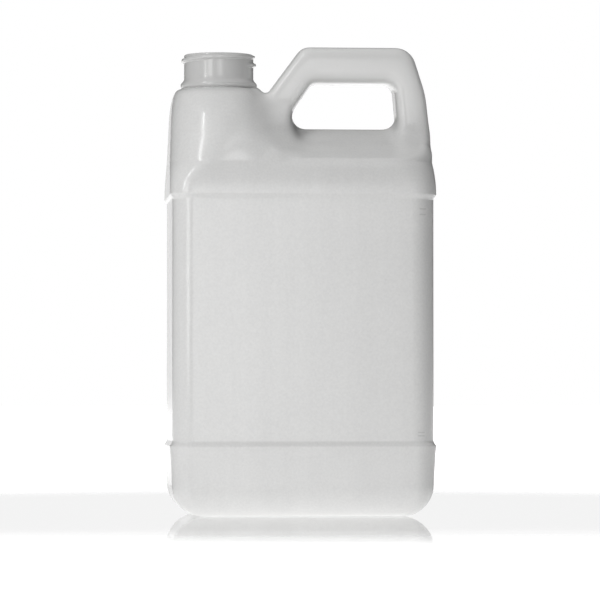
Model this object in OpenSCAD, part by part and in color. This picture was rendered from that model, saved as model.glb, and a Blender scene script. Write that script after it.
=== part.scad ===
// F-style bottle: one blown piece with an offset threaded neck and a hollow handle.
// The wide faces lie in front and behind, the neck is at -X and the handle at +X.
// The bottle stands on Z = 0 and is symmetric about the plane Y = 0, where its mould parts.

/* [Body] */
// Height of the bottle, at the top of the grip
bottle_h = 234.5; // [200:0.5:270]
// Width of the body over its bumpers
body_w = 132; // [124:1:150]
// Depth of the body over its bumpers
body_d = 86; // [76:1:100]
// Radius of the upright corners
corner_r = 11; // [7:0.5:16]
// Radius of the edge around the base
base_r = 15; // [7:0.5:18]
// Height of the lower bumper, where the label panel starts
panel_bottom = 34.6; // [26:0.5:50]
// How far the label panel lies below the bumpers
panel_depth = 1.3; // [0.6:0.1:2.5]
// How much narrower the lower bumper is at its foot, on each side
bumper_taper = 1.9; // [0:0.1:3]
// Height of the hollow under the base
push_up = 3; // [1:0.5:6]
// Width of the ring that the bottle stands on
foot_ring = 8; // [5:0.5:12]

/* [Shoulder] */
// Height of the upright band between the label panel and the crease
band_h = 16.2; // [10:0.1:22]
// Height of the sloping roof between the crease and the ridge below the finger hole
roof_h = 18.2; // [13:0.1:22]
// Radius of the upright corners at the crease
crease_corner_r = 23; // [14:0.5:28]
// Radius of the ridge
ridge_r = 2.8; // [2:0.1:4]

/* [Handle] */
// Thickness of the grip from its top to its underside
grip_t = 18.2; // [14:0.1:22]
// Depth of the grip from front to back
grip_d = 27; // [20:0.5:34]
// Height of the finger hole
hole_h = 22.6; // [19:0.1:28]
// Place of the left corner of the finger hole's floor
hole_left = -9.2; // [-11:0.1:-7]
// Place of the right corner of the finger hole's floor
hole_right = 49.7; // [46:0.1:52]
// Rounding of the two lower corners of the finger hole
hole_corner_r = 6.6; // [4:0.1:9]
// Slope of the front leg of the handle, in degrees
front_leg_slope = 55; // [52:0.5:62]
// Thickness of the front leg, seen from the wide side
front_leg_t = 14.7; // [12:0.1:17]
// Lean of the rear leg below its bend, in degrees
rear_leg_lean = 5.5; // [3:0.5:8]
// Lean of the rear leg above its bend, in degrees
rear_top_lean = 18.5; // [12:0.5:24]
// Depth of the rear leg's bend below the top of the grip
rear_bend_drop = 24; // [20:0.5:28]
// Rounding at the front end of the grip
front_bend_r = 7; // [5:0.5:12]
// Rounding at the rear end of the grip
rear_bend_r = 10.5; // [8:0.5:14]

/* [Neck] */
// Distance of the neck axis from the middle of the body
neck_offset = 40.1; // [36:0.1:42]
// How far the shoulder's top, where the neck starts, lies below the top of the grip
neck_drop = 20.9; // [18:0.1:26]
// Height of the neck from the shoulder to the sealing rim
neck_h = 17.1; // [15:0.1:22]
// Diameter over the neck wall, below the thread
neck_d = 34.8; // [32:0.1:37]
// Diameter over the thread
thread_d = 37.4; // [35:0.1:38.5]
// Rise of the thread in one turn
thread_pitch = 4.23; // [3.2:0.01:5]
// Diameter of the bore of the neck
bore_d = 30.4; // [27:0.1:32]
// Diameter over the bead below the thread
bead_d = 38.4; // [37:0.1:41]
// Height of the bead
bead_h = 4; // [3:0.1:5]

/* [Wall] */
// Thickness of the blown wall
wall = 1; // [0.8:0.1:1.6]

/* [Hidden] */

// Smoothness of the shaped surfaces
arc_steps = 7;
ring_points = 22;
turn_steps = 40;
neck_facets = 96;

// Heights, counted down from the top of the grip
grip_under = bottle_h - grip_t;
ridge_z = grip_under - hole_h;
crease_z = ridge_z - roof_h;
panel_top = crease_z - band_h;
shoulder_top = bottle_h - neck_drop;
rim_z = shoulder_top + neck_h;

// Sizes of the body at the ledges and at the crease
half_w = body_w / 2;
half_d = body_d / 2;
ledge_h = panel_depth * 1.6;
crease_inset = 1.8;
crease_side_inset = 0.5;

// Places of the neck
neck_x = -neck_offset;
neck_r = neck_d / 2;
bead_r = bead_d / 2;
thread_r = thread_d / 2;
bead_z = shoulder_top + bead_h / 2;
thread_first_z = rim_z - 5.1;
thread_base = 2.4;
thread_crest = 0.8;
thread_root = 0.5;
thread_start = -45;
thread_end = 375;
thread_fade = 35;
rim_round = 0.6;

// Corners of the front view of the handle, as [x, z]
slope_run = cos(front_leg_slope) / sin(front_leg_slope);
low_run = tan(rear_leg_lean);
top_run = tan(rear_top_lean);
hole_floor_left = [hole_left, ridge_z];
hole_floor_right = [hole_right, ridge_z];
hole_roof_left = [hole_left + hole_h * slope_run, grip_under];
hole_roof_right = [hole_right - hole_h * low_run, grip_under];
hole_roof_r = 5;
hole_corner = [hole_left + hole_corner_r / tan(front_leg_slope / 2), ridge_z + hole_corner_r];
hole_corner_start = 235;
leg_offset = front_leg_t / sin(front_leg_slope);
grip_front = [hole_left - leg_offset + (bottle_h - ridge_z) * slope_run, bottle_h];
side_x = half_w - crease_side_inset;
rear_bend_z = bottle_h - rear_bend_drop;
rear_bend = [side_x - (rear_bend_z - ridge_z) * low_run, rear_bend_z];
grip_rear = [rear_bend[0] - rear_bend_drop * top_run, bottle_h];
rear_side_r = 45;
saddle_z = shoulder_top - 2.3;
saddle_x = neck_x + bead_r + 3.6;
saddle_r = 4.5;
foot_flare = 7.5;

// Point part of the way from one point to another
function between(a, b, t) = a + (b - a) * t;

// Points of the arc that rounds corner p between its neighbours a and b
function rounded(a, p, b, r, n) =
    let (
        u = (a - p) / norm(a - p),
        v = (b - p) / norm(b - p),
        half = acos(u * v) / 2,
        reach = min(r / tan(half), 0.48 * norm(a - p), 0.48 * norm(b - p)),
        radius = reach * tan(half),
        middle = p + (u + v) / norm(u + v) * radius / sin(half),
        first = p + u * reach - middle,
        last = p + v * reach - middle,
        side = first[0] * last[1] - first[1] * last[0] > 0 ? 1 : -1
    )
    [for (i = [0:n])
        let (turn = side * (180 - 2 * half) * i / n)
        middle + [
            first[0] * cos(turn) - first[1] * sin(turn),
            first[0] * sin(turn) + first[1] * cos(turn)
        ]];

// One level of the body: a rounded rectangle from left to right, as points in space
function level(left, right, depth, r, z) =
    let (
        radius = min(r, depth, (right - left) / 2),
        corners = [
            [right - radius, depth - radius, 0],
            [left + radius, depth - radius, 90],
            [left + radius, radius - depth, 180],
            [right - radius, radius - depth, 270]
        ]
    )
    [for (c = corners, i = [0:arc_steps])
        let (a = c[2] + 90 * i / arc_steps)
        [c[0] + radius * cos(a), c[1] + radius * sin(a), z]];

// Skin through a stack of closed loops that all have the same number of points
module skin(loops) {
    n = len(loops[0]);
    rows = len(loops);
    sides = [for (j = [0:rows - 2], i = [0:n - 1])
        let (k = (i + 1) % n)
        [j * n + i, (j + 1) * n + i, (j + 1) * n + k, j * n + k]];
    floor_cap = [[for (i = [0:n - 1]) i]];
    roof_cap = [[for (i = [n - 1:-1:0]) (rows - 1) * n + i]];
    polyhedron(points = [for (loop = loops) each loop], faces = concat(floor_cap, sides, roof_cap), convexity = 8);
}

// Level of the upright body, drawn in by an inset at the sides and in front
function body_level(z, inset, side_inset, skin_in) =
    level(
        -(half_w - side_inset) + skin_in,
        half_w - side_inset - skin_in,
        half_d - inset - skin_in,
        max(corner_r - inset - skin_in, 1),
        z
    );

// Level of the band above the label panel, whose corners widen up to the crease; t runs from 0 to 1
function band_level(t, skin_in) =
    level(
        -(half_w - crease_side_inset * t * t) + skin_in,
        half_w - crease_side_inset * t * t - skin_in,
        half_d - crease_inset * t * t - skin_in,
        between(corner_r, crease_corner_r, t * t) - skin_in,
        between(panel_top, crease_z - skin_in / 2, t)
    );

// Body from the base to the crease; skin_in is 0 outside and the wall inside
module upright_body(skin_in) {
    foot = [for (i = [0:arc_steps])
        let (
            a = 90 * i / arc_steps,
            inset = base_r * (1 - sin(a)) + bumper_taper
        )
        body_level(max(base_r * (1 - cos(a)), skin_in), inset, inset, skin_in)];
    lower = [
        body_level(between(base_r, panel_bottom, 0.6), bumper_taper * 0.35, bumper_taper * 0.35, skin_in),
        body_level(panel_bottom, 0, 0, skin_in),
        body_level(panel_bottom + ledge_h, panel_depth, panel_depth, skin_in),
        body_level(panel_top - ledge_h, panel_depth, panel_depth, skin_in)
    ];
    band = [for (t = [0, 0.35, 0.7, 1]) band_level(t, skin_in)];
    skin(concat(foot, lower, band));
}

// Hollow under the base, which leaves the ring that the bottle stands on
module base_hollow(lift) {
    inner = base_r + bumper_taper + foot_ring - lift;
    skin([
        body_level(-1, inner - push_up, inner - push_up, 0),
        body_level(lift, inner, inner, 0),
        body_level(lift + push_up * 0.7, inner + 3, inner + 3, 0),
        body_level(lift + push_up, inner + 9, inner + 9, 0)
    ]);
}

// Roof that slopes from the crease to the ridge below the finger hole
module roof(skin_in) {
    radius = ridge_r - skin_in;
    left = neck_x + neck_r;
    right = side_x - grip_d / 2;
    hull() {
        skin([
            [for (p = band_level(1, skin_in)) [p[0], p[1], p[2] - 4]],
            band_level(1, skin_in)
        ]);
        for (x = [left, right])
            translate([x, 0, ridge_z - ridge_r])
                sphere(r = radius, $fn = 16);
    }
}

// Shoulder that rises from the upright body to the neck
module neck_shoulder(skin_in) {
    first_z = crease_z - skin_in / 2;
    rise = shoulder_top - 2 * skin_in - first_z;
    levels = [0, 0.12, 0.25, 0.38, 0.5, 0.62, 0.73, 0.82, 0.9, 0.96, 1];
    stack = [for (t = levels)
        let (
            left = between(-side_x + 1.4 * t, neck_x - bead_r, 1 - sqrt(1 - pow(t, 7))),
            right = neck_x + bead_r + (shoulder_top - crease_z) * 0.35 * (1 - t),
            depth = between(half_d - crease_inset, bead_r, 1 - pow(1 - pow(t, 1.9), 0.62)),
            r = between(crease_corner_r, bead_r, t) + 5 * sin(180 * t)
        )
        level(left + skin_in, right - skin_in, depth - skin_in, r - skin_in, first_z + rise * t)];
    foot = [for (p = stack[0]) [p[0] * 0.99, p[1] * 0.98, first_z - 10]];
    skin(concat([foot], stack));
}

// Rings of the handle, each as [outer point, inner point, half of the depth].
// They widen by the flare towards both feet. The front foot starts inside the shoulder.
function handle_rings(flare, skin_in) =
    let (
        saddle = [saddle_x, saddle_z],
        // From the neck down into the saddle and up to the front leg
        outer_saddle = rounded([neck_x + bead_r, shoulder_top + 1], saddle, grip_front, saddle_r, 4),
        outer_front = rounded(saddle, grip_front, grip_rear, front_bend_r, 6),
        outer_rear = rounded(grip_front, grip_rear, rear_bend, rear_bend_r, 6),
        outer_side = rounded(grip_rear, rear_bend, [side_x, ridge_z], rear_side_r, 3),
        outer_foot = [[side_x, ridge_z - 5], [side_x - 0.6, crease_z - 3]],
        inner_saddle = [for (i = [0:4])
            let (a = between(hole_corner_start, 90 + front_leg_slope, i / 4))
            hole_corner + (hole_corner_r + 1.5 * skin_in) * [cos(a), sin(a)]],
        inner_front = rounded(hole_floor_left, hole_roof_left, hole_roof_right, hole_roof_r, 6),
        inner_rear = rounded(hole_roof_left, hole_roof_right, hole_floor_right, hole_roof_r, 6),
        inner_side = [for (t = [0.35, 0.5, 0.65, 0.78]) between(hole_roof_right, hole_floor_right, t)],
        inner_foot = [hole_floor_right + [-4, -3], hole_floor_right + [-8, -12]],
        outer_root = [[neck_x + bead_r - 9, shoulder_top - 10], [neck_x + bead_r - 6, shoulder_top - 7]],
        inner_root = [
            hole_corner - [26, hole_corner_r + 18],
            hole_corner - [1 + 4 * skin_in, hole_corner_r + 0.3 + 4 * skin_in]
        ],
        outer = concat(outer_root, outer_saddle, outer_front, outer_rear, outer_side, outer_foot),
        inner = concat(inner_root, inner_saddle, inner_front, inner_rear, inner_side, inner_foot),
        last = len(outer) - 1
    )
    [for (i = [0:last])
        let (
            from_neck = max(0, 1 - max(0, i - 2) / 6),
            from_side = max(0, 1 - (last - i) / 4)
        )
        [outer[i], inner[i], grip_d / 2 + flare * from_neck ^ 2 + (flare + 1) * from_side ^ 2]];

// Hollow handle, swept through its rings. The wall is thicker in the flared feet.
module handle(skin_in) {
    flare = skin_in > 0 ? foot_flare - 3 - skin_in : foot_flare;
    skin([for (ring = handle_rings(flare, skin_in))
        let (
            middle = (ring[0] + ring[1]) / 2,
            reach = (ring[0] - ring[1]) / 2,
            along = reach * (1 - skin_in / norm(reach)),
            depth = ring[2] - skin_in
        )
        [for (k = [0:ring_points - 1])
            let (
                a = -360 * k / ring_points,
                c = sign(cos(a)) * pow(abs(cos(a)), 0.72),
                s = sign(sin(a)) * pow(abs(sin(a)), 0.72)
            )
            [middle[0] + along[0] * c, depth * s, middle[1] + along[1] * c]]]);
}

// Blown shell without the neck
module shell() {
    difference() {
        union() {
            upright_body(0);
            roof(0);
            neck_shoulder(0);
            handle(0);
        }
        difference() {
            union() {
                upright_body(wall);
                roof(wall);
                neck_shoulder(wall);
                handle(wall);
            }
            base_hollow(wall);
        }
        base_hollow(0);
        // Opening into the neck, a little narrower than the bore that trues it
        translate([neck_x, 0, shoulder_top - 3 * wall])
            cylinder(r = bore_d / 2 - 1, h = 6 * wall, $fn = 32);
    }
}

// Neck finish with its bead and its rounded rim
module neck() {
    rotate_extrude($fn = neck_facets)
        polygon([
            [bore_d / 2 - 0.5, shoulder_top - wall],
            [neck_r, shoulder_top - wall],
            [bead_r - 0.5, shoulder_top],
            [bead_r, bead_z - 0.4],
            [bead_r - 0.3, bead_z + 0.2],
            [neck_r, shoulder_top + bead_h],
            [neck_r, rim_z - rim_round],
            [neck_r - rim_round, rim_z],
            [bore_d / 2 - 0.5, rim_z]
        ]);
}

// Right-hand thread of a little more than one turn, fading out at both ends
module thread() {
    steps = turn_steps;
    skin([for (i = [0:steps])
        let (
            a = between(thread_start, thread_end, i / steps),
            z = thread_first_z + thread_pitch * a / 360,
            fade = min(1, (a - thread_start) / thread_fade, (thread_end - a) / thread_fade),
            foot_r = neck_r - thread_root,
            crest_r = between(neck_r - 0.1, thread_r, sqrt(max(fade, 0)))
        )
        [for (p = [
            [foot_r, thread_base / 2],
            [crest_r, thread_crest / 2],
            [crest_r, -thread_crest / 2],
            [foot_r, -thread_base / 2]
        ]) [p[0] * cos(a), p[0] * sin(a), z + p[1]]]]);
}

module bottle() {
    color("whitesmoke")
        difference() {
            union() {
                resize([body_w, body_d, bottle_h])
                    shell();
                translate([neck_x, 0, 0]) {
                    neck();
                    thread();
                }
            }
            translate([neck_x, 0, shoulder_top - 6])
                cylinder(d = bore_d, h = rim_z - shoulder_top + 7, $fn = neck_facets);
        }
}

bottle();
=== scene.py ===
# Looks of the F-style bottle: one blown piece of natural, milky polyethylene.
# The shape is a field in millimetres that is negative inside. It is sampled on a
# grid, skinned, and settled on the surface. The neck is turned on its own grid.
import math
import bpy
import numpy as np
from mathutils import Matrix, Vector


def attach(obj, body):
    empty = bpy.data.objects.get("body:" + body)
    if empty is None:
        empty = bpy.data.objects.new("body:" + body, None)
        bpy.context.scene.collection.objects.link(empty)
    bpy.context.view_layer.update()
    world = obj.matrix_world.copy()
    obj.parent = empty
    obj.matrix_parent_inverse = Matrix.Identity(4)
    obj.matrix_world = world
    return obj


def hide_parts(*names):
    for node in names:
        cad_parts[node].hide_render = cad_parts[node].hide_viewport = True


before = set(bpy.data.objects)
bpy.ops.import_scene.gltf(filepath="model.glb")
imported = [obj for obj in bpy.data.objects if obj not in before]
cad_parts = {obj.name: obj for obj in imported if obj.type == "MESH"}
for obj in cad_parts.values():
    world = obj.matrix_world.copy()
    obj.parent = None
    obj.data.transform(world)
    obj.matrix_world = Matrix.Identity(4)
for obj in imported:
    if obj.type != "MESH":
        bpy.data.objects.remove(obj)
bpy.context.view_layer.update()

# Sizes in millimetres, as in the part's source apart from the softer ledge of the panel
HALF_W, HALF_D = 66.0, 43.0
CORNER_R, CREASE_CORNER_R, BASE_R = 11.0, 23.0, 15.0
PANEL_BOTTOM, PANEL_TOP, PANEL_DEPTH, LEDGE = 34.6, 159.3, 1.3, 2.7
CREASE_Z, RIDGE_Z, SHOULDER_TOP, TOP_Z = 175.5, 193.7, 213.6, 234.5
GRIP_UNDER, GRIP_HALF = 216.3, 13.5
NECK_X, NECK_R, BEAD_R, BORE_R, RIM_Z = -40.1, 17.4, 19.2, 15.2, 230.7
THREAD_R, THREAD_PITCH, THREAD_Z = 18.7, 4.23, 225.6
WALL = 1.0
# Set-back of the sides and of the front at the crease, and of the foot at the floor
CREASE_SIDE, CREASE_FRONT, FOOT_INSET = 0.5, 1.8, 1.9
SIDE_X = HALF_W - CREASE_SIDE
# Roof: rounding of its ridge, its edge behind the front, and the hip at its left as start and normal
RIDGE_SOFT, ROOF_EDGE = 1.25, 3.05
HIP_X, HIP_NORMAL = -25, (0.441, 0.897)
# Base: width of the ring that the bottle stands on, width of the slope inside it, depth of the hollow
RING, RING_SLOPE, HOLLOW = 8, 12, 3.0
# Widths over which forms flow together: shoulder with roof, handle with roof, handle with shoulder
COVE, LEG_JOIN, GRIP_JOIN = 19, 8, 4.0
# Handle: power of its section, and how far its rear and front leg spread at the root
GRIP_POWER, REAR_SPREAD, FRONT_SPREAD = 4.2, 9, 7
# Cells of the skin's grid, and steps round the neck
GRID_STEP, TURN = 1.9, 192

# Levels of light: the floor's own glow near the bottle and far from it, and the studio low and overhead
GLOW_NEAR, GLOW_FAR = 0.46, 0.10
STUDIO_LOW, STUDIO_TOP = 0.01, 0.86


def ease(a, b, v):
    t = np.clip((v - a) / (b - a), 0.0, 1.0)
    return t * t * (3 - 2 * t)


def mix(a, b, t):
    return a + (b - a) * t


def round_meet(a, b, r):
    return np.minimum(np.maximum(a, b), -r) + np.hypot(np.maximum(a + r, 0), np.maximum(b + r, 0))


def soft_join(a, b, k):
    h = np.maximum(k - np.abs(a - b), 0) / np.maximum(k, 1e-6)
    return np.minimum(a, b) - h * h * k / 4


def rounded_rect(x, y, left, right, depth, r):
    qx = np.abs(x - (left + right) / 2) - ((right - left) / 2 - r)
    qy = np.abs(y) - (depth - r)
    return np.minimum(np.maximum(qx, qy), 0) + np.hypot(np.maximum(qx, 0), np.maximum(qy, 0)) - r


def rounded_path(corners):
    """Closed outline through corners [x, z, radius], each rounded by an arc."""
    out = []
    n = len(corners)
    for i, (x, z, r) in enumerate(corners):
        p = np.array([x, z])
        a = np.array(corners[i - 1][:2]) - p
        b = np.array(corners[(i + 1) % n][:2]) - p
        u, v = a / np.linalg.norm(a), b / np.linalg.norm(b)
        if r <= 0:
            out.append(p)
            continue
        half = math.acos(float(np.clip(u @ v, -1, 1))) / 2
        reach = min(r / math.tan(half), 0.48 * np.linalg.norm(a), 0.48 * np.linalg.norm(b))
        radius = reach * math.tan(half)
        mid = p + (u + v) / np.linalg.norm(u + v) * radius / math.sin(half)
        s, e = p + u * reach - mid, p + v * reach - mid
        side = 1 if s[0] * e[1] - s[1] * e[0] > 0 else -1
        steps = max(3, int(math.degrees(math.pi - 2 * half) / 9))
        for k in range(steps + 1):
            t = side * (math.pi - 2 * half) * k / steps
            c, w = math.cos(t), math.sin(t)
            out.append(mid + np.array([s[0] * c - s[1] * w, s[0] * w + s[1] * c]))
    return np.array(out)


def outline_distance(x, z, pts):
    """Distance from a closed outline in the plane of X and Z, negative inside."""
    best = np.full(x.shape, 1e9)
    inside = np.zeros(x.shape, bool)
    for (ax, az), (bx, bz) in zip(pts, np.roll(pts, -1, 0)):
        ex, ez = bx - ax, bz - az
        wx, wz = x - ax, z - az
        t = np.clip((wx * ex + wz * ez) / (ex * ex + ez * ez), 0, 1)
        best = np.minimum(best, (wx - ex * t) ** 2 + (wz - ez * t) ** 2)
        if az != bz:
            hit = (az <= z) != (bz <= z)
            inside ^= hit & (x < ax + (z - az) / (bz - az) * ex)
    return np.where(inside, -1, 1) * np.sqrt(best)


HANDLE_OUTSIDE = rounded_path([
    (-34, 196, 0), (-22.5, 216, 3), (-17.3, 209.3, 4), (1.4, TOP_Z, 7), (56.1, TOP_Z, 10.5),
    (63.7, 210.5, 45), (SIDE_X + 0.4, 190, 30), (SIDE_X + 0.3, 171, 8), (54, 158, 0), (-34, 158, 0),
])
HANDLE_HOLE = rounded_path([
    (-4.3, 180, 0), (-4.3, 200.7, 12), (6.6, GRIP_UNDER, 4.5), (47.6, GRIP_UNDER, 5), (50.8, 180, 0),
])


def handle(x, y, z):
    outside = -outline_distance(x, z, HANDLE_OUTSIDE)
    hole = outline_distance(x, z, HANDLE_HOLE)
    thick = np.clip(outside + hole, 8, 24)
    across = np.maximum(1 - 2 * outside / thick, 1 - 2 * hole / thick)
    across = np.maximum(across, 0)
    rear = ease(10, 30, x)
    rear_flare = rear * REAR_SPREAD * (1 - ease(173, 197, z)) ** 2
    front_flare = (1 - rear) * FRONT_SPREAD * (1 - ease(194, 211, z)) ** 2
    half = GRIP_HALF + (rear_flare + front_flare)
    n = GRIP_POWER
    return ((across ** n + (np.abs(y) / half) ** n) ** (1 / n) - 1) * thick / 2


def body_inset(z):
    ledge = ease(PANEL_BOTTOM, PANEL_BOTTOM + LEDGE, z) - ease(PANEL_TOP - LEDGE, PANEL_TOP, z)
    foot = FOOT_INSET * np.clip(1 - z / PANEL_BOTTOM, 0, 1) ** 0.8
    return PANEL_DEPTH * ledge + foot


def field(x, y, z):
    band = np.clip((z - PANEL_TOP) / (CREASE_Z - PANEL_TOP), 0, 1) ** 2
    inset = body_inset(z)
    side = HALF_W - inset - CREASE_SIDE * band
    deep = HALF_D - inset - CREASE_FRONT * band
    corner = mix(CORNER_R - inset * 0.3, CREASE_CORNER_R, band)
    sides = rounded_rect(x, y, -side, side, deep, corner)
    # Roof with a soft ridge, which ends the body above the crease
    slope = math.atan2(RIDGE_Z - CREASE_Z, HALF_D - ROOF_EDGE)
    from_ridge = np.sqrt(y * y + RIDGE_SOFT ** 2) - RIDGE_SOFT
    roof = from_ridge * math.sin(slope) + (z - RIDGE_Z) * math.cos(slope)
    # At the left the roof falls away inside the shoulder
    hip = HIP_NORMAL[0] * (HIP_X - x) + HIP_NORMAL[1] * (z - RIDGE_Z)
    roof = np.maximum(roof, hip)
    body = round_meet(sides, roof, mix(3.5, 5.0, ease(50, 66, np.abs(x))))
    # Shoulder, which narrows from the body to the neck
    t = np.clip((z - CREASE_Z) / (SHOULDER_TOP - CREASE_Z), 0, 1)
    left = mix(-SIDE_X + 1.4 * t, NECK_X - BEAD_R, 1 - np.sqrt(1 - t ** 7))
    left = np.where(z < CREASE_Z, -side, left)
    right = NECK_X + BEAD_R + (SHOULDER_TOP - CREASE_Z) * 0.35 * (1 - t)
    above = np.maximum(z - CREASE_Z, 0)
    depth = mix(HALF_D - CREASE_FRONT, BEAD_R, 1 - (1 - t ** 1.9) ** 0.62)
    depth = depth - 0.22 * above * np.exp(-above / 7)
    depth = np.where(z < CREASE_Z, deep, depth)
    r = np.where(z < CREASE_Z, corner, mix(CREASE_CORNER_R, BEAD_R, t) + 5 * np.sin(math.pi * t))
    r = np.minimum(r, np.minimum(depth, (right - left) / 2) - 0.01)
    tower = round_meet(rounded_rect(x, y, left, right, depth, r), z - SHOULDER_TOP, 2.0)
    k = COVE * ease(CREASE_Z - 8, CREASE_Z + 6, z) * ease(-50, -26, x)
    joined = soft_join(body, tower, k)
    shape = round_meet(joined, sides, np.minimum(5.0, np.minimum(body, tower) - joined))
    grip = handle(x, y, z)
    k = LEG_JOIN * ease(168, 186, z) * (1 - 0.85 * ease(50, 64, x) * (1 - ease(184, 200, z)))
    k = mix(k, GRIP_JOIN, ease(206, 211, z))
    shape = np.where(z > 160, soft_join(shape, grip, k), shape)
    # Base with the ring that the bottle stands on and a shallow hollow
    inner = -rounded_rect(x, y, -HALF_W, HALF_W, HALF_D, CORNER_R) - (BASE_R + FOOT_INSET + RING)
    hollow = HOLLOW * ease(0, RING_SLOPE, inner)
    return round_meet(shape, hollow - z, BASE_R)


def grid_lines(lo, hi, step, fine=()):
    """Grid lines from lo to hi, closer together in the bands given as (from, to, step)."""
    cuts = sorted({lo, hi, *[v for a, b, _ in fine for v in (a, b)]})
    out = [lo]
    for a, b in zip(cuts, cuts[1:]):
        s = next((f[2] for f in fine if f[0] <= a and b <= f[1]), step)
        n = max(1, round((b - a) / s))
        out += [a + (b - a) * (k + 1) / n for k in range(n)]
    return np.array(out)


def skin(gx, gy, gz):
    """Vertices and quads of the zero surface of the field, one vertex for each cell that it crosses."""
    X, Y, Z = np.meshgrid(gx, gy, gz, indexing="ij")
    V = field(X, Y, Z)
    inside = V < 0
    shape = tuple(n - 1 for n in V.shape)
    total = np.zeros(shape + (3,))
    count = np.zeros(shape)
    corners = [(i, j, k) for i in (0, 1) for j in (0, 1) for k in (0, 1)]

    def part(A, c):
        return A[c[0]:c[0] + shape[0], c[1]:c[1] + shape[1], c[2]:c[2] + shape[2]]

    for a in corners:
        for axis in range(3):
            if a[axis]:
                continue
            b = tuple(v + (1 if i == axis else 0) for i, v in enumerate(a))
            va, vb = part(V, a), part(V, b)
            cross = (va < 0) != (vb < 0)
            t = np.where(cross, va / np.where(cross, va - vb, 1), 0)
            for i, A in enumerate((X, Y, Z)):
                total[..., i] += np.where(cross, mix(part(A, a), part(A, b), t), 0)
            count += cross
    active = count > 0
    index = np.full(shape, -1)
    index[active] = np.arange(active.sum())
    verts = total[active] / count[active][:, None]
    quads = []
    for axis in range(3):
        low = [slice(1, -1)] * 3
        low[axis] = slice(None, -1)
        high = [slice(1, -1)] * 3
        high[axis] = slice(1, None)
        a, b = inside[tuple(low)], inside[tuple(high)]
        i, j, k = np.nonzero(a != b)
        flip = a[i, j, k]
        base = np.stack([i, j, k], 1)
        base[:, [n for n in range(3) if n != axis]] += 1
        u, v = [(1, 2), (2, 0), (0, 1)][axis]
        ids = []
        for du, dv in ((0, 0), (1, 0), (1, 1), (0, 1)):
            c = base.copy()
            c[:, u] -= du
            c[:, v] -= dv
            ids.append(index[c[:, 0], c[:, 1], c[:, 2]])
        q = np.stack(ids, 1)
        q[~flip] = q[~flip][:, ::-1]
        quads.append(q)
    return verts, np.concatenate(quads)


def gradient(p, h=0.04):
    g = np.empty_like(p)
    for i in range(3):
        d = np.zeros(3)
        d[i] = h
        g[:, i] = (field(*(p + d).T) - field(*(p - d).T)) / (2 * h)
    return g


def settle(p, rounds=4):
    for _ in range(rounds):
        g = gradient(p)
        step = field(*p.T) / np.maximum((g * g).sum(1), 0.05)
        p = p - g * np.clip(step, -1.5, 1.5)[:, None]
    return p


def relax(p, quads, rounds=3, share=0.5):
    """Evens out the vertices along the surface."""
    edges = np.concatenate([quads[:, [0, 1]], quads[:, [1, 2]], quads[:, [2, 3]], quads[:, [3, 0]]])
    for _ in range(rounds):
        total = np.zeros_like(p)
        count = np.zeros(len(p))
        for a, b in ((0, 1), (1, 0)):
            for i in range(3):
                total[:, i] += np.bincount(edges[:, a], p[edges[:, b], i], len(p))
            count += np.bincount(edges[:, a], minlength=len(p))
        g = gradient(p)
        n = g / np.linalg.norm(g, axis=1)[:, None]
        move = total / count[:, None] - p
        move -= n * (move * n).sum(1)[:, None]
        p = settle(p + move * share, 1)
    return p


def ordered_loop(quads):
    """The vertices of the one open border of a set of quads, in order."""
    ends = {}
    seen = {}
    for q in quads.tolist():
        for a, b in zip(q, q[1:] + q[:1]):
            seen[(a, b)] = True
    for a, b in seen:
        if (b, a) not in seen:
            ends[a] = b
    start = next(iter(ends))
    loop = [start]
    while ends[loop[-1]] != start:
        loop.append(ends[loop[-1]])
    assert len(loop) == len(ends), "more than one border"
    return loop


def zipper(outer, inner, place):
    """Triangles between two loops of vertices round the neck axis, matched by their angles."""
    def turned(loop):
        a = [math.atan2(place[i][1], place[i][0] - NECK_X) for i in loop]
        a = np.unwrap(a)
        if a[-1] < a[0]:
            loop, a = loop[::-1], a[::-1]
        k = int(np.argmin(np.abs(np.mod(a, 2 * math.pi))))
        loop = loop[k:] + loop[:k]
        whole_turns = 2 * math.pi * math.floor((a[k] + 1) / (2 * math.pi))
        a = np.concatenate([a[k:], a[:k] + 2 * math.pi]) - whole_turns
        return loop + [loop[0]], np.append(a, a[0] + 2 * math.pi)

    lo, ao = turned(list(outer))
    li, ai = turned(list(inner))
    i = j = 0
    out = []
    while i < len(lo) - 1 or j < len(li) - 1:
        if j == len(li) - 1 or (i < len(lo) - 1 and ao[i + 1] < ai[j + 1]):
            out.append((lo[i], lo[i + 1], li[j]))
            i += 1
        else:
            out.append((lo[i], li[j + 1], li[j]))
            j += 1
    return out


# Blown shell: outer skin, and the inner skin one wall further in
lines_x = grid_lines(-69, 69, GRID_STEP, [(-13, 8, 1.5)])
lines_y = grid_lines(-46, 46, GRID_STEP, [(-3.2, 3.2, 1.28)])
lines_z = grid_lines(-3, 238, GRID_STEP, [
    (-3, 3, 1.5), (33.8, 37.6, 0.55), (156.2, 160.2, 0.55), (188, 238, 1.5),
])
points, quads = skin(lines_x, lines_y, lines_z)
points = relax(settle(points), quads)
grad = gradient(points)
normals = grad / np.linalg.norm(grad, axis=1)[:, None]
inner_points = points - normals * WALL

# Turned neck: outside with the thread, over the rim and down the bore
angle = np.arange(TURN) / TURN * 2 * math.pi
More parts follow.
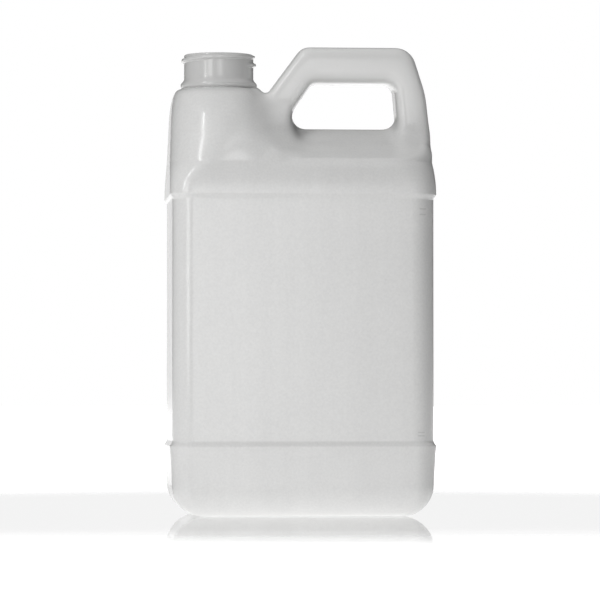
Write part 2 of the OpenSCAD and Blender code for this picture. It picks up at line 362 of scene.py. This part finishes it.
# Its profile as (radius, z)
outside = [(18.2, 213.35), (18.75, 213.75), (19.05, 214.4), (19.2, 215.2), (19.15, 215.75), (18.9, 216.2),
           (18.3, 216.9), (17.8, 217.5), (17.5, 218.1), (NECK_R, 218.8)]
outside += [(NECK_R, v) for v in np.arange(219.3, 229.9, 0.24)]
outside += [(NECK_R, 229.95), (17.32, 230.3), (17.1, 230.56), (16.8, RIM_Z), (16.3, RIM_Z), (15.8, 230.66),
            (15.4, 230.5), (15.22, 230.2), (BORE_R, 229.6)]
inside_wall = [(BORE_R, v) for v in np.arange(227.5, 213.0, -2.0)] + [(BORE_R, 212.6)]
profile = outside + inside_wall
neck = []
for r, z in profile:
    ring_r = np.full(TURN, r)
    if 219 < z < 229.9 and r > 17:
        for turn in (-1, 0, 1):
            a = angle + turn * 2 * math.pi
            fade_in = ease(math.radians(-45), math.radians(-5), a)
            fade_out = ease(math.radians(335), math.radians(375), a)
            fade = fade_in * (1 - fade_out)
            off = np.abs(z - (THREAD_Z + THREAD_PITCH * a / (2 * math.pi)))
            crest = np.clip((1.35 - off) / 0.85, 0, 1)
            crest = crest * crest * (3 - 2 * crest)
            ring_r = np.maximum(ring_r, r + (THREAD_R - NECK_R) * crest * fade)
    neck.append(np.stack([NECK_X + ring_r * np.cos(angle), ring_r * np.sin(angle), np.full(TURN, z)], 1))
neck = np.array(neck)

first_inner = len(points)
first_neck = first_inner + len(inner_points)
place = np.concatenate([points, inner_points, neck.reshape(-1, 3)])


def cleared(source, verts, radius, low):
    """Quads of a skin, without those over the neck's opening."""
    near = (np.hypot(verts[:, 0] - NECK_X, verts[:, 1]) < radius) & (verts[:, 2] > low)
    return source[~near[source].any(1)]


outer_quads = cleared(quads, points, radius=19.0, low=211.5)
inner_quads = cleared(quads, inner_points, radius=16.2, low=208)
outer_loop = ordered_loop(outer_quads)
inner_loop = [i + first_inner for i in ordered_loop(inner_quads)]
faces = outer_quads.tolist()
faces += [[i + first_inner for i in q[::-1]] for q in inner_quads.tolist()]
rings = len(neck)
for j in range(rings - 1):
    for i in range(TURN):
        k = (i + 1) % TURN
        a, b = first_neck + j * TURN, first_neck + (j + 1) * TURN
        faces.append([a + i, a + k, b + k, b + i])
first_ring = [first_neck + i for i in range(TURN)]
last_ring = [first_neck + (rings - 1) * TURN + i for i in range(TURN)]
faces += [list(t) for t in zipper(outer_loop, first_ring, place)]
faces += [list(t[::-1]) for t in zipper(inner_loop, last_ring, place)]

# Normals of the skins come from the field, and those of the neck from its faces
used = np.zeros(len(place), bool)
for f in faces:
    used[f] = True
order = np.cumsum(used) - 1
mesh = bpy.data.meshes.new("bottle_blown")
mesh.from_pydata((place[used] / 1000).tolist(), [], [[int(order[i]) for i in f] for f in faces])
mesh.validate()
mesh.polygons.foreach_set("use_smooth", [True] * len(mesh.polygons))
mesh.update()
smooth = np.empty(len(mesh.vertices) * 3)
mesh.vertices.foreach_get("normal", smooth)
smooth = smooth.reshape(-1, 3)
exact = np.concatenate([normals, -normals, np.zeros((len(neck) * TURN, 3))])[used]
known = (exact ** 2).sum(1) > 0.5
smooth[known] = exact[known]
mesh.normals_split_custom_set_from_vertices(smooth.tolist())
bottle = bpy.data.objects.new("bottle_blown", mesh)
bpy.context.scene.collection.objects.link(bottle)
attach(bottle, "root")
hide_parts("bottle")


class Net:
    """Short ways to add nodes to a tree and link them."""

    def __init__(self, owner):
        owner.use_nodes = True
        self.tree = owner.node_tree
        self.tree.nodes.clear()

    def add(self, kind, **links):
        node = self.tree.nodes.new("ShaderNode" + kind)
        for key, value in links.items():
            if hasattr(node, key) and key not in node.inputs:
                setattr(node, key, value)
            else:
                self.put(node.inputs[key.replace("_", " ")], value)
        return node

    def put(self, socket, value):
        if isinstance(value, bpy.types.NodeSocket):
            self.tree.links.new(value, socket)
        else:
            socket.default_value = value

    def math(self, operation, *values):
        node = self.tree.nodes.new("ShaderNodeMath")
        node.operation = operation
        for socket, value in zip(node.inputs, values):
            self.put(socket, value)
        return node.outputs[0]

    def range(self, value, low, high, to_low=0.0, to_high=1.0):
        node = self.tree.nodes.new("ShaderNodeMapRange")
        node.interpolation_type = "SMOOTHSTEP"
        names = ("Value", "From Min", "From Max", "To Min", "To Max")
        for name, v in zip(names, (value, low, high, to_low, to_high)):
            self.put(node.inputs[name], v)
        return node.outputs[0]

    def noise(self, vector, scale, detail=2.0, rough=0.5):
        node = self.tree.nodes.new("ShaderNodeTexNoise")
        for name, v in (("Vector", vector), ("Scale", scale), ("Detail", detail), ("Roughness", rough)):
            self.put(node.inputs[name], v)
        return node.outputs["Fac"]

    def blend(self, factor, a, b):
        node = self.add("Mix", data_type="RGBA")
        for name, v in (("Factor", factor), (6, a), (7, b)):
            self.put(node.inputs[name], v)
        return node.outputs[2]

    def stretched(self, vector, size):
        node = self.tree.nodes.new("ShaderNodeMapping")
        self.put(node.inputs["Vector"], vector)
        node.inputs["Scale"].default_value = size
        return node.outputs["Vector"]

    def white_rays(self):
        """1 for rays that see the backdrop as the camera does, and 1 for glossy rays."""
        ray = self.tree.nodes.new("ShaderNodeLightPath")
        seen = self.math("MAXIMUM", ray.outputs["Is Camera Ray"], ray.outputs["Is Transmission Ray"])
        return seen, ray.outputs["Is Glossy Ray"]


# Milky plastic: clouds in the wall, flow lines down the sides, grain, rare specks and a soft peel.
# The neck is darkened as painted shade and the top of the handle lightened as painted light. Places in the
# material are in metres.
# Tones of the neck's painted shade, of the handle's painted light, and of the marks
NECK_PAINTED_SHADE_TONE, HANDLE_PAINTED_LIGHT_TONE, MARK_TONE = (0.66, 0.66, 0.655, 1), (0.86, 0.86, 0.852, 1), (0.45, 0.45, 0.445, 1)
plastic = bpy.data.materials.new("natural_plastic")
net = Net(plastic)
place_in = net.add("TexCoord").outputs["Object"]
clouds = net.noise(place_in, 22, 4)
flow = net.noise(net.stretched(place_in, (160, 160, 3)), 1, 3)
grain = net.noise(place_in, 900, 2)
specks = net.add("TexVoronoi", Vector=place_in, Scale=95)
dot = net.range(specks.outputs["Distance"], 0.03, 0.07, 1, 0)
rare = net.range(net.noise(place_in, 60, 0), 0.66, 0.70)
tone = net.math("ADD", net.math("MULTIPLY", clouds, 0.5), net.math("MULTIPLY", flow, 0.3))
tone = net.math("ADD", tone, net.math("MULTIPLY", grain, 0.6))
tone = net.math("SUBTRACT", tone, net.math("MULTIPLY", net.math("MULTIPLY", dot, rare), 0.35))
at = net.add("SeparateXYZ", Vector=place_in).outputs
# Painted shade: mask of the neck, where the colour is darkened to a grey of its own
painted_neck_shade = net.math("MULTIPLY", net.range(at["Z"], 0.2095, 0.2145), net.range(at["X"], -0.018, -0.022))
on_handle = net.range(at["X"], -0.026, -0.012)
ramp = net.add("ValToRGB", Fac=tone)
tones = ramp.color_ramp.elements
tones[0].position = 0.43
tones[1].position = 0.97
tones[0].color = (0.745, 0.745, 0.74, 1)
tones[1].color = (0.84, 0.84, 0.832, 1)
rough = net.range(clouds, 0.3, 0.7, 0.17, 0.21)
# Two pairs of short mould marks on the front near the panel's right edge, as (from x, to x, z)
MARKS = [
    (0.0568, 0.0600, 0.1519), (0.0568, 0.0600, 0.1491),
    (0.0559, 0.0593, 0.0417), (0.0559, 0.0593, 0.0401),
]
MARK_END, MARK_CORE, MARK_EDGE = 0.0003, 0.0001, 0.0005
marks = 0.0
for x0, x1, z in MARKS:
    starts = net.range(at["X"], x0 - MARK_END, x0 + MARK_END)
    ends = net.range(at["X"], x1 + MARK_END, x1 - MARK_END)
    along = net.math("MULTIPLY", starts, ends)
    off = net.math("ABSOLUTE", net.math("SUBTRACT", at["Z"], z))
    across = net.range(off, MARK_CORE, MARK_EDGE, 1, 0)
    marks = net.math("ADD", marks, net.math("MULTIPLY", along, across))
marks = net.math("MULTIPLY", marks, net.range(at["Y"], 0.0, -0.01))
relief = net.math("SUBTRACT", net.noise(place_in, 420, 2), net.math("MULTIPLY", marks, 2.0))
peel = net.add("Bump", Height=relief, Distance=0.00006, Strength=0.5)
# Painted shade darkens the neck
grey = net.blend(painted_neck_shade, ramp.outputs["Color"], NECK_PAINTED_SHADE_TONE)
# Painted light: the top of the handle is lightened towards a paler tone, up to three quarters of the way
painted_handle_light = net.math("MULTIPLY", on_handle, net.range(at["Z"], 0.194, 0.206, 0, 0.75))
wall = net.blend(painted_handle_light, grey, HANDLE_PAINTED_LIGHT_TONE)
wall = net.blend(net.math("MULTIPLY", marks, 0.35), wall, MARK_TONE)
shader = net.add("BsdfPrincipled", Base_Color=wall, Roughness=rough, Normal=peel.outputs["Normal"])
shader.inputs["IOR"].default_value = 1.5
shader.inputs["Specular IOR Level"].default_value = 0.5
net.put(net.add("OutputMaterial").inputs["Surface"], shader.outputs[0])
mesh.materials.append(plastic)

# Floor: white and matt, with a gloss round the bottle that fades with distance, soonest in front.
# It glows a little, more close to the bottle, and the camera and gloss see it lifted to white far off.
floor_mesh = bpy.data.meshes.new("floor")
floor_mesh.from_pydata([(-6, -6, 0), (6, -6, 0), (6, 9, 0), (-6, 9, 0)], [], [(0, 1, 2, 3)])
floor = bpy.data.objects.new("floor", floor_mesh)
bpy.context.scene.collection.objects.link(floor)
pale = bpy.data.materials.new("floor")
net = Net(pale)
seen, glossy = net.white_rays()
spot = net.add("NewGeometry").outputs["Position"]
length = net.add("VectorMath", operation="LENGTH")
net.put(length.inputs[0], spot)
far = length.outputs["Value"]
shown = net.math("MULTIPLY", net.math("MAXIMUM", seen, glossy), net.range(far, 0.15, 1.2, 0.60, 1.1))
glow = net.math("ADD", shown, net.range(far, 0.05, 0.28, GLOW_NEAR, GLOW_FAR))
matt = net.add("BsdfDiffuse", Color=(0.85, 0.85, 0.85, 1))
light = net.add("Emission", Color=(1, 1, 1, 1), Strength=glow)
both = net.add("AddShader")
net.put(both.inputs[0], matt.outputs[0])
net.put(both.inputs[1], light.outputs[0])
shine = net.add("BsdfGlossy", Color=(0.90, 0.90, 0.90, 1), Roughness=0.03)
where = net.add("SeparateXYZ", Vector=spot)
ahead = net.math("MULTIPLY", net.range(where.outputs["Y"], -0.46, -0.16), net.range(far, 0.55, 0.30))
share = net.math("MULTIPLY", net.add("Fresnel", IOR=1.45).outputs[0], net.math("MULTIPLY", ahead, 1.25))
mixed = net.add("MixShader")
net.put(mixed.inputs[0], share)
net.put(mixed.inputs[1], both.outputs[0])
net.put(mixed.inputs[2], shine.outputs[0])
net.put(net.add("OutputMaterial").inputs["Surface"], mixed.outputs[0])
floor_mesh.materials.append(pale)

# World: the camera sees white, and so does gloss where it looks straight back along Y.
# All other rays see a plain grey studio, brighter overhead, that lights the object softly.
world = bpy.data.worlds.new("studio")
bpy.context.scene.world = world
net = Net(world)
seen, glossy = net.white_rays()
way = net.add("SeparateXYZ", Vector=net.add("TexCoord").outputs["Generated"])
behind = net.range(way.outputs["Y"], 0.965, 0.983)
white = net.math("MAXIMUM", seen, net.math("MULTIPLY", glossy, behind))
studio = net.range(way.outputs["Z"], 0.35, 1.0, STUDIO_LOW, STUDIO_TOP)
level = net.math("ADD", white, net.math("MULTIPLY", net.math("SUBTRACT", 1, white), studio))
back = net.add("Background", Color=(1, 1, 1, 1), Strength=level)
net.put(net.add("OutputWorld").inputs["Surface"], back.outputs[0])


def lamp(name, place, target, width, height, power):
    data = bpy.data.lights.new(name, "AREA")
    data.shape = "RECTANGLE"
    data.size = width
    data.size_y = height
    data.energy = power
    ob = bpy.data.objects.new(name, data)
    bpy.context.scene.collection.objects.link(ob)
    ob.location = place
    ob.visible_camera = False
    ob.rotation_euler = (Vector(target) - Vector(place)).to_track_quat("-Z", "Y").to_euler()


lamp("near_left", place=(-0.30, -0.42, 0.22), target=(0, 0, 0.14), width=0.12, height=0.30, power=0.44)
lamp("left_strip", place=(-0.50, -0.42, 0.52), target=(0, 0, 0.20), width=0.018, height=0.55, power=1.1)
lamp("front", place=(0.0, -2.3, 0.25), target=(0, 0, 0.12), width=0.6, height=0.6, power=3.6)

# Camera at the photograph's angle
AZ, DISTANCE, HEIGHT = math.radians(-4.5), 1.8, 0.065
AIM = Vector((0.0009, 0, 0.10775))
camera_data = bpy.data.cameras.new("camera")
camera_data.sensor_width = 36
camera_data.lens = 214.9
camera = bpy.data.objects.new("camera", camera_data)
bpy.context.scene.collection.objects.link(camera)
camera.location = (math.sin(AZ) * DISTANCE, -math.cos(AZ) * DISTANCE, HEIGHT)
camera.rotation_euler = (AIM - camera.location).to_track_quat("-Z", "Y").to_euler()
bpy.context.scene.camera = camera
bpy.context.scene.view_settings.view_transform = "Standard"
